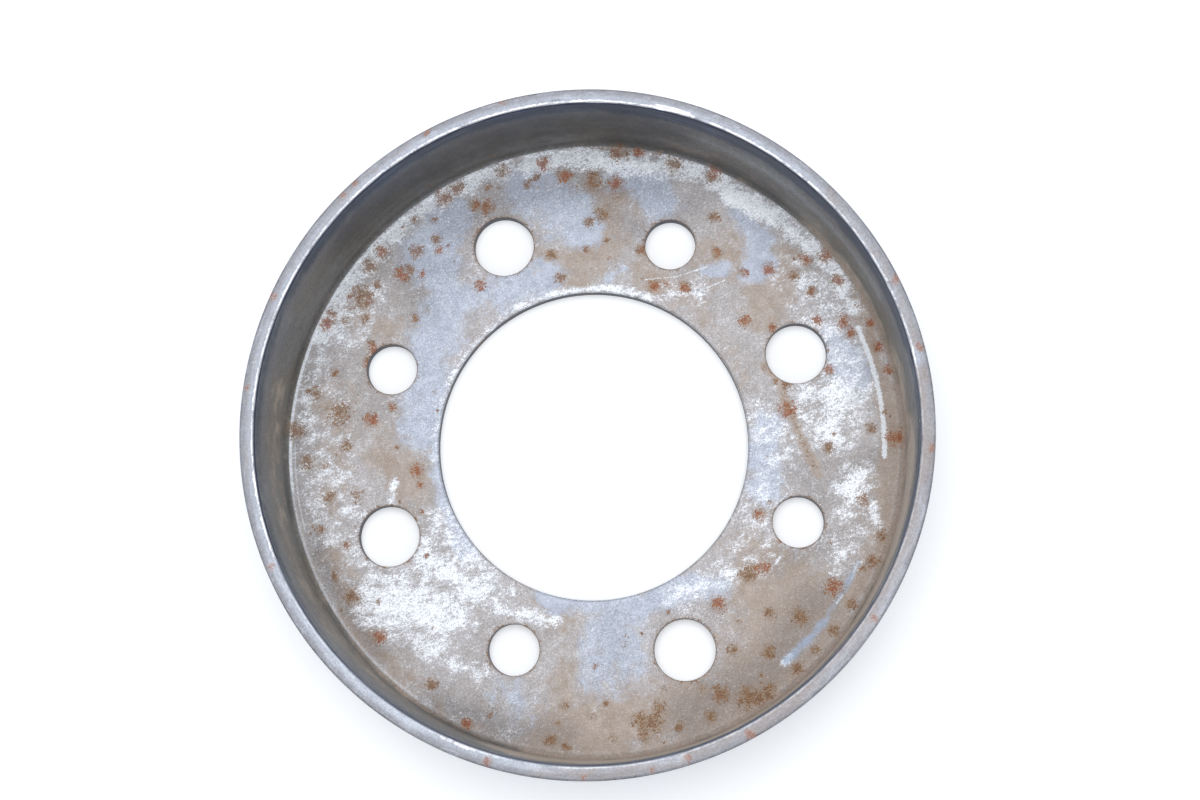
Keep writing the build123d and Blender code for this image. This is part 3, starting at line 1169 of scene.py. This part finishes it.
@dataclass(frozen=True)
class WebFinish(Finish):
    """The web's inner face: mottled scale, patina, bared metal with its flecks painted as white sparkle,
    scuffs, rust, and patches of painted shade near the wall.
    """

    plain: Colour = srgb(181, 177, 178)
    dull: Colour = srgb(166, 161, 160)
    cool: Colour = srgb(174, 181, 196)
    cool_light: Colour = srgb(190, 197, 211)
    tan: Colour = srgb(165, 151, 140)
    tan_light: Colour = srgb(177, 165, 157)
    smear: Colour = srgb(160, 176, 200)
    deep: Colour = srgb(170, 172, 178)
    pale: Colour = srgb(201, 206, 217)
    white: Colour = srgb(243, 248, 255)
    wipe_turn: float = 24.0
    wipe_stretch: Triple = (0.75, 1.2, 1.0)
    broad: Noise = (75.0, 4.0, 0.6)
    middle: Noise = (420.0, 4.0, 0.65)
    mottle: Band = (0.35, 0.65)
    patina_fray: Fray = (600.0, 1.35, 0.28)
    cool_fray: Fray = (560.0, 1.7, 0.3)
    bared_fray: Fray = (1600.0, 2.0, 0.6)
    smear_fray: Fray = (1800.0, 1.3, 0.5)
    fleck_scale: float = 4000.0
    fleck_density: float = 0.71
    fleck_shine: Band = (0.4, 0.98)

    def material(self) -> Material:
        """Build the web's material.

        Returns:
            The material.
        """
        skin = Skin("web_inner_face", self.plain, self.effects)
        turn = (0, 0, math.radians(self.wipe_turn))
        inputs = {"Vector": skin.place, "Rotation": turn, "Scale": self.wipe_stretch}
        wiped = skin.add("Mapping", inputs).outputs["Vector"]
        middle = skin.grit(self.middle)
        mottle = skin.step(middle, *self.mottle)
        skin.lay(self.dull, skin.step(skin.grit(self.broad), *self.mottle))
        patina = skin.ragged(Mask.PATINA, skin.place, self.patina_fray)
        skin.lay(skin.mix(mottle, self.tan, self.tan_light), patina)
        cool = skin.ragged(Mask.COOL, skin.place, self.cool_fray)
        skin.lay(skin.mix(mottle, self.cool, self.cool_light), cool)
        # Painted shade: the painted shade mask darkens the web in patches, most of them near the wall where
        # its shadow falls.
        deep = skin.sway(middle, 0.8, skin.painted(Mask.DEEP))
        skin.lay(self.deep, skin.step(deep, 0.1, 0.8), 0.5, "MULTIPLY")
        bared = skin.ragged(Mask.BARED, wiped, self.bared_fray)
        skin.lay(self.pale, bared, 0.48)
        stray = skin.times(skin.step(middle, 0.3, 0.7), 0.45)
        stray = skin.blend(patina, skin.blend(cool, stray, 0.25), 0.12)
        shine = self.flecks(skin, wiped, bared, stray)
        # Painted highlights: the flecks of bared crystal are laid in near white, standing for their sparkle
        # as well as their pale colour.
        skin.lay(self.white, shine)
        marks = skin.larger(self.scuffs(skin), self.fine_lines(skin))
        skin.lay(self.white, marks)
        skin.lay(self.smear, skin.ragged(Mask.SMEAR, wiped, self.smear_fray), 0.85)
        grain = skin.lay_grain(2600.0, 1.2, skin.blend(patina, 1.0, 0.65))
        rust = skin.lay_rust(0.88, skin.speckled(330.0, 0.4), skin.painted(Mask.EMBER))
        matt = skin.larger(rust["Cover"], skin.larger(skin.times(shine, 0.5), marks))
        rough = skin.blend(rust["Cover"], skin.blend(shine, 0.55, 0.42), 0.85)
        height = skin.plus(skin.times(grain, 0.4), skin.times(rust["Height"], 0.6))
        return skin.close(rough, skin.blend(matt, 0.3, 0.0), height, 0.05 * MM)

    def flecks(self, skin: Skin, place: Output, bared: Output, stray: Output) -> Output:
        """Pale flecks, dense where the metal is bared and sparse elsewhere.

        Args:
            skin: The material.
            place: Their coordinates.
            bared: Where the metal is bared.
            stray: How dense they are elsewhere.

        Returns:
            Their cover.
        """
        solid = skin.larger(skin.minus(skin.painted(Mask.BARED), 0.9), 0.0)
        density = skin.maths("MULTIPLY_ADD", solid, 0.3, skin.blend(bared, stray, self.fleck_density))
        inputs = {"Place": place, "Scale": self.fleck_scale, "Density": density}
        flecks = skin.group(self.effects.flecks, inputs)["Cover"]
        return skin.times(flecks, skin.blend(bared, *self.fleck_shine))

    def arc(self, skin: Skin, radius: float, width: float, middle: float, span: float) -> Output:
        """A mark along a circle.

        Args:
            skin: The material.
            radius: The circle's radius in millimetres.
            width: The mark's half width in millimetres.
            middle: Angle of its middle in degrees.
            span: How far it runs to either side, in degrees.

        Returns:
            Its cover.
        """
        inputs = {"Place": skin.place, "Radius": radius * MM, "Width": width * MM}
        inputs.update({"Middle": math.radians(middle), "Span": math.radians(span)})
        return skin.group(self.effects.arc, inputs)["Cover"]

    def fine_lines(self, skin: Skin) -> Output:
        """Thin bright lines, most of them where the web turns up into the wall.

        Args:
            skin: The material.

        Returns:
            Their cover.
        """
        total = 0.0
        for *arc, strength in FINE_LINES:
            line = skin.times(skin.step(self.arc(skin, *arc), 0.0, 0.6), strength)
            total = skin.larger(total, line)
        worn = skin.step(skin.grit((900.0, 3.0, 0.7)), 0.3, 0.5)
        return skin.times(total, skin.blend(worn, 0.6, 1.0))

    def scuffs(self, skin: Skin) -> Output:
        """The long scuff beside the wall and the straight scratches.

        Args:
            skin: The material.

        Returns:
            Their cover.
        """
        broken = skin.grit((2400.0, 3.0, 0.7))
        scuff = skin.step(skin.sway(broken, 1.2, self.arc(skin, *LONG_SCUFF)), 0.35, 0.7)
        total = 0.0
        for start, end, width in SCRATCHES:
            inputs = {"Place": skin.place, "Width": width * MM}
            inputs.update({"Start": tuple(around(*start, 0)), "End": tuple(around(*end, 0))})
            scratch = skin.group(self.effects.scratch, inputs)["Cover"]
            total = skin.larger(total, skin.times(scratch, 0.75))
        scratched = skin.step(skin.sway(broken, 1.9, total), 0.42, 0.85)
        return skin.larger(scuff, scratched)


@dataclass(frozen=True)
class TrackFinish(Finish):
    """The inner wall: dark and mottled, with rings of wear, painted highlight streaks, a dark blue band
    below the rim with painted glints, and painted shade on its far side and at its foot.
    """

    body: Colour = srgb(150, 149, 146)
    dark: Colour = srgb(130, 129, 127)
    olive: Colour = srgb(140, 133, 120)
    blued: Colour = srgb(122, 129, 141)
    navy: Colour = srgb(65, 77, 95)
    glint: Colour = srgb(100, 117, 144)
    tan: Colour = srgb(208, 193, 177)
    rubbed: Colour = srgb(188, 193, 203)
    deep: Colour = srgb(176, 175, 177)
    painted_crease_shade: Colour = srgb(104, 102, 101)
    web_tan: Colour = srgb(174, 158, 147)
    turned: Triple = (0.06, 0.06, 1)
    lines: Noise = (1500.0, 3.0, 0.7)
    bands: Noise = (380.0, 3.0, 0.6)
    fine: Noise = (1500.0, 3.0, 0.7)
    mottle: Noise = (230.0, 5.0, 0.68)
    broad: Noise = (60.0, 3.0, 0.6)
    blued_heights: Band = (11.68 * MM, 23.4 * MM)
    navy_heights: Band = (9 * MM, 13 * MM)
    corner_heights: Band = (3.4 * MM, 5.2 * MM)
    crease_heights: Band = (2.66 * MM, 2.9 * MM)
    foot_heights: Band = (4.2 * MM, 2.8 * MM)

    def material(self) -> Material:
        """Build the track's material.

        Returns:
            The material.
        """
        skin = Skin("shoe_track", self.body, self.effects)
        turned = skin.vector("MULTIPLY", skin.place, self.turned)
        fine = skin.grit(self.fine)
        mottle = skin.grit(self.mottle)
        height = skin.parts(skin.place)["Z"]
        skin.lay(self.dark, skin.step(mottle, 0.35, 0.65))
        skin.lay(self.olive, skin.step(skin.grit(self.broad), 0.45, 0.62), 0.55)
        blued = skin.step(skin.sway(mottle, 12.0 * MM, height), *self.blued_heights)
        skin.lay(self.blued, blued, 0.55)
        tan = skin.step(skin.sway(mottle, 1.2, skin.painted(Mask.PATINA)), 0.1, 0.7)
        skin.lay(self.tan, tan)
        skin.lay(self.rubbed, skin.step(skin.noise(turned, *self.bands), 0.52, 0.7), 0.12)
        # Painted highlights: where the bared metal mask lies on the wall, pale streaks are laid in.
        bared = skin.sway(fine, 1.2, skin.painted(Mask.BARED))
        skin.lay(self.rubbed, skin.step(bared, 0.1, 0.8), 0.6)
        # Painted shade: darker on the wall's far side and low down towards its foot, where the painted shade
        # mask lies.
        deep = skin.step(skin.painted(Mask.DEEP), 0.0, 0.8)
        skin.lay(self.deep, deep, 0.8, "MULTIPLY")
        # Painted shade in the crease where the wall meets the web, laid where the painted shade mask lies.
        low = skin.rest(skin.step(height, *self.corner_heights))
        painted_crease_shade = skin.times(skin.times(low, deep), skin.step(height, *self.crease_heights))
        skin.lay(self.painted_crease_shade, painted_crease_shade, 0.5)
        skin.lay(self.web_tan, skin.times(skin.step(height, *self.foot_heights), tan))
        navy = skin.sway(fine, 0.5, skin.sway(mottle, 0.8, skin.painted(Mask.COOL)))
        navy = skin.times(skin.step(navy, 0.1, 0.65), skin.step(height, *self.navy_heights))
        # Painted highlights: pale blue glints streaked through the dark blue band below the rim.
        glint = skin.step(skin.noise(turned, *self.lines), 0.52, 0.7)
        skin.lay(skin.mix(glint, self.navy, self.glint), navy, 0.9)
        grain = skin.lay_grain(2000.0, 0.9)
        skin.lay_rust(0.6, skin.speckled(260.0, 0.12), skin.painted(Mask.EMBER))
        rough = skin.plus(skin.blend(blued, 0.55, 0.45), skin.times(fine, 0.1))
        return skin.close(rough, skin.blend(tan, 0.4, 0.0), grain, 0.03 * MM)


@dataclass(frozen=True)
class RimFinish(Finish):
    """The trimmed rim: blue-grey sheared steel with a bright burr along its inner edge and streaks of
    painted sheen.

    Its zones are distances from the track's radius outwards.
    """

    inner_zone: Colour = srgb(173, 178, 189)
    outer_zone: Colour = srgb(155, 156, 163)
    warm: Colour = srgb(154, 143, 138)
    sheen: Colour = srgb(198, 204, 215)
    burr: Colour = srgb(246, 247, 251)
    bevel: Colour = srgb(62, 70, 90)
    worn_bevel: Colour = srgb(112, 120, 136)
    lip: Colour = srgb(104, 102, 106)
    streaks: Noise = (1400.0, 4.0, 0.7)
    broad: Noise = (90.0, 3.0, 0.6)
    middle: Noise = (420.0, 4.0, 0.7)
    fine: Noise = (1300.0, 3.0, 0.7)
    fray: float = 0.7 * MM
    bevel_zone: Band = (0.14 * MM, 0.3 * MM)
    burr_zone: Band = (0.4 * MM, 0.62 * MM)
    burr_gain: float = 0.8 * MM
    sheared_zone: Band = (0.9 * MM, 1.7 * MM)
    lip_zone: Band = (2.0 * MM, 2.35 * MM)

    def material(self) -> Material:
        """Build the rim's material.

        Returns:
            The material.
        """
        skin = Skin("trimmed_rim", self.inner_zone, self.effects)
        parts = skin.parts(skin.place)
        radius = skin.from_axis(skin.place)
        slow = {axis: skin.times(parts[axis], 0.2) for axis in ("X", "Y")}
        turned = skin.add("CombineXYZ", {**slow, "Z": radius}).outputs["Vector"]
        streaks = skin.noise(turned, *self.streaks)
        middle = skin.grit(self.middle)
        across = skin.minus(radius, TRACK * MM)
        edge = skin.sway(skin.grit(self.fine), self.fray, across)
        skin.lay(self.outer_zone, skin.step(edge, *self.sheared_zone))
        # Painted sheen: pale blue streaks along the rim.
        skin.lay(self.sheen, skin.step(streaks, 0.48, 0.7), 0.55)
        patina = skin.painted(Mask.PATINA)
        worn = skin.sway(middle, 0.5, skin.sway(streaks, 1.3, patina))
        skin.lay(self.warm, skin.step(worn, 0.2, 0.8), 0.75)
        # On the rim the blue smear mask lays a band of painted sheen and dulls the burr and the bevel there.
        smear = skin.painted(Mask.SMEAR)
        skin.lay(self.sheen, skin.times(smear, skin.step(streaks, 0.35, 0.6)))
        bared = skin.painted(Mask.BARED)
        reached = skin.minus(edge, skin.times(bared, self.burr_gain))
        burr = skin.rest(skin.step(reached, *self.burr_zone))
        burr = skin.times(burr, skin.larger(skin.step(middle, 0.34, 0.5), bared))
        dulled = skin.larger(patina, smear)
        burr = skin.times(burr, skin.maths("MULTIPLY_ADD", dulled, -1.1, 1.0, clamp=True))
        skin.lay(self.burr, burr)
        inside = skin.rest(skin.step(across, *self.bevel_zone))
        skin.lay(skin.mix(dulled, self.bevel, self.worn_bevel), inside)
        patchy = skin.step(skin.grit(self.broad), 0.3, 0.6)
        skin.lay(self.lip, skin.times(skin.step(edge, *self.lip_zone), patchy), 0.75)
        grain = skin.lay_grain(2200.0, 0.7)
        skin.lay_rust(0.6, skin.painted(Mask.RUST), skin.painted(Mask.EMBER))
        return skin.close(skin.blend(burr, 0.55, 0.35), 0.3, grain, 0.04 * MM)


@dataclass(frozen=True)
class OutsideFinish(Finish):
    """The outer wall and the web's outer face: drawn scale, rubbed and rusted."""

    body: Colour = srgb(140, 140, 146)
    dark: Colour = srgb(104, 102, 104)
    tan: Colour = srgb(150, 136, 124)
    rubbed: Colour = srgb(205, 208, 218)
    drawing: Triple = (1, 1, 0.12)
    drawn: Noise = (700.0, 4.0, 0.7)
    broad: Noise = (55.0, 4.0, 0.6)
    middle: Noise = (260.0, 4.0, 0.65)
    rust_scale: float = 110.0
    rust_size: float = 2.6
    rust_chance: Band = (0.6, 0.65)

    def material(self) -> Material:
        """Build the outside's material.

        Returns:
            The material.
        """
        skin = Skin("drawn_outside", self.body, self.effects)
        drawn = skin.noise(skin.vector("MULTIPLY", skin.place, self.drawing), *self.drawn)
        skin.lay(self.dark, skin.step(skin.grit(self.broad), 0.4, 0.62))
        skin.lay(self.tan, skin.step(skin.grit(self.middle), 0.5, 0.75))
        skin.lay(self.rubbed, skin.step(drawn, 0.6, 0.85), 0.55)
        grain = skin.lay_grain(2200.0, 0.5)
        inputs = {"Vector": skin.place, "Scale": self.rust_scale, "Randomness": 1.0}
        cells = skin.add("TexVoronoi", inputs).outputs
        near = skin.rest(skin.times(cells["Distance"], self.rust_size))
        chance = skin.step(skin.parts(cells["Color"])["X"], *self.rust_chance)
        rust = skin.lay_rust(0.85, skin.times(near, chance), 0.0)["Cover"]
        return skin.close(skin.blend(rust, 0.5, 0.85), skin.blend(rust, 0.45, 0.0), grain, 0.05 * MM)


@dataclass(frozen=True)
class CutEdgeFinish(Finish):
    """The punched walls of the bore and the bolt holes."""

    body: Colour = srgb(62, 65, 74)
    brown: Colour = srgb(96, 74, 58)
    fine: Noise = (900.0, 3.0, 0.7)
    broad: Noise = (160.0, 3.0, 0.6)

    def material(self) -> Material:
        """Build the cut edges' material.

        Returns:
            The material.
        """
        skin = Skin("punched_edge", self.body, self.effects)
        skin.lay(self.brown, skin.step(skin.grit(self.broad), 0.5, 0.7))
        grain = skin.lay_grain(2200.0, 0.5)
        return skin.close(skin.blend(skin.grit(self.fine), 0.35, 0.6), 0.6, grain, 0.04 * MM)


@dataclass
class Studio:
    """White table, a soft lamp overhead, a pale surround and the photo's camera."""

    camera_place: Triple = (0.77 * MM, -43.63 * MM, 324.2 * MM)
    camera_turn_deg: Triple = (8.284, 3.074, -24.003)
    lens_mm: float = 59.5
    sensor_mm: float = 36.0
    near_clip: float = 0.01
    table_radius: float = 3.0
    table_turns: int = 96
    table_drop: float = 0.02 * MM
    paper: Colour = (0.86, 0.87, 0.885, 1)
    paper_light: Colour = (0.88, 0.89, 0.9, 1)
    paper_noise: Noise = (12.0, 3.0, 0.5)
    glow: Colour = (0.95, 0.97, 1, 1)
    glow_strength: float = 0.32
    lamp_place: Triple = (0.05, 0.11, 1.0)
    lamp_size: float = 0.7
    lamp_watts: float = 5.55
    lamp_colour: Triple = (1.0, 0.99, 0.985)
    surround: Colour = (0.9, 0.94, 1.0, 1)
    surround_strength: float = 0.6

    def table(self) -> None:
        """White table top that keeps a faint shadow; from below it is clear, so the drum shows."""
        place = (0, 0, -self.table_drop)
        bpy.ops.mesh.primitive_circle_add(
            vertices=self.table_turns, radius=self.table_radius, fill_type="NGON", location=place
        )
        bpy.ops.object.transform_apply(location=True, rotation=False, scale=False)
        table = bpy.context.active_object
        table.name = "table_top"
        skin = Skin("white_paper", self.paper)
        skin.lay(self.paper_light, skin.grit(self.paper_noise))
        paper = skin.add("BsdfDiffuse", {"Color": skin.colour})
        glow = skin.add("Emission", {"Color": self.glow, "Strength": self.glow_strength})
        unlit = skin.add("Emission", {"Strength": 0.0})
        path = skin.add("LightPath").outputs
        seen = skin.maths("ADD", path["Is Camera Ray"], path["Is Glossy Ray"], clamp=True)
        seen = skin.maths("ADD", seen, path["Is Transmission Ray"], clamp=True)
        lit = skin.add("MixShader", {0: seen, 1: unlit.outputs[0], 2: glow.outputs[0]})
        total = skin.add("AddShader", {0: paper.outputs[0], 1: lit.outputs[0]})
        beneath = skin.add("NewGeometry").outputs["Backfacing"]
        touching = skin.maths("LESS_THAN", path["Ray Length"], 4.0 * self.table_drop)
        glass = skin.add("BsdfTransparent")
        sides = {0: skin.larger(beneath, touching), 1: total.outputs[0], 2: glass.outputs[0]}
        skin.add("OutputMaterial", {"Surface": skin.add("MixShader", sides).outputs[0]})
        table.data.materials.append(skin.material)

    def light(self) -> None:
        """Large soft lamp overhead that faces the drum, and an even pale surround."""
        place = Vector(self.lamp_place)
        bpy.ops.object.light_add(type="AREA", location=place)
        lamp = bpy.context.active_object
        lamp.name = "soft_box"
        lamp.data.shape = "SQUARE"
        lamp.data.size = self.lamp_size
        lamp.data.energy = self.lamp_watts
        lamp.data.color = self.lamp_colour
        lamp.rotation_euler = (-place).to_track_quat("-Z", "Y").to_euler()
        world = bpy.data.worlds.new("studio_surround")
        bpy.context.scene.world = world
        world.use_nodes = True
        canvas = Canvas(world.node_tree)
        canvas.tree.nodes.clear()
        seen = canvas.add("LightPath").outputs["Is Camera Ray"]
        colour = canvas.mix(seen, self.surround, (1, 1, 1, 1))
        strength = canvas.blend(seen, self.surround_strength, 1.0)
        back = canvas.add("Background", {"Color": colour, "Strength": strength})
        canvas.add("OutputWorld", {"Surface": back.outputs[0]})

    def camera(self) -> None:
        """Camera at the photo's place, turn and lens."""
        data = bpy.data.cameras.new("photo_camera")
        data.lens = self.lens_mm
        data.sensor_width = self.sensor_mm
        data.clip_start = self.near_clip
        data.dof.use_dof = False
        camera = bpy.data.objects.new("photo_camera", data)
        camera.location = self.camera_place
        camera.rotation_euler = tuple(math.radians(angle) for angle in self.camera_turn_deg)
        bpy.context.scene.collection.objects.link(camera)
        bpy.context.scene.camera = camera

    def build(self) -> None:
        """Set up the table, the light, the camera and the view transform."""
        self.table()
        self.light()
        self.camera()
        bpy.context.scene.view_settings.view_transform = "Standard"


def main() -> None:
    """Build the drum and its studio."""
    logging.basicConfig(level=logging.INFO, format="%(name)s: %(message)s")
    sizes = DrumSizes.from_record(frame["record"])
    effects = SharedEffects()
    finishes = {
        Region.WEB: WebFinish(effects).material(),
        Region.TRACK: TrackFinish(effects).material(),
        Region.RIM: RimFinish(effects).material(),
        Region.OUTSIDE: OutsideFinish(effects).material(),
        Region.CUT_EDGE: CutEdgeFinish(effects).material(),
    }
    drum = BrakeDrum(sizes).build(finishes)
    LOG.info("%s: %d faces", drum.name, len(drum.data.polygons))
    Studio().build()
    LOG.info("studio: table, lamp, surround and camera")


if __name__ == "__main__":
    main()
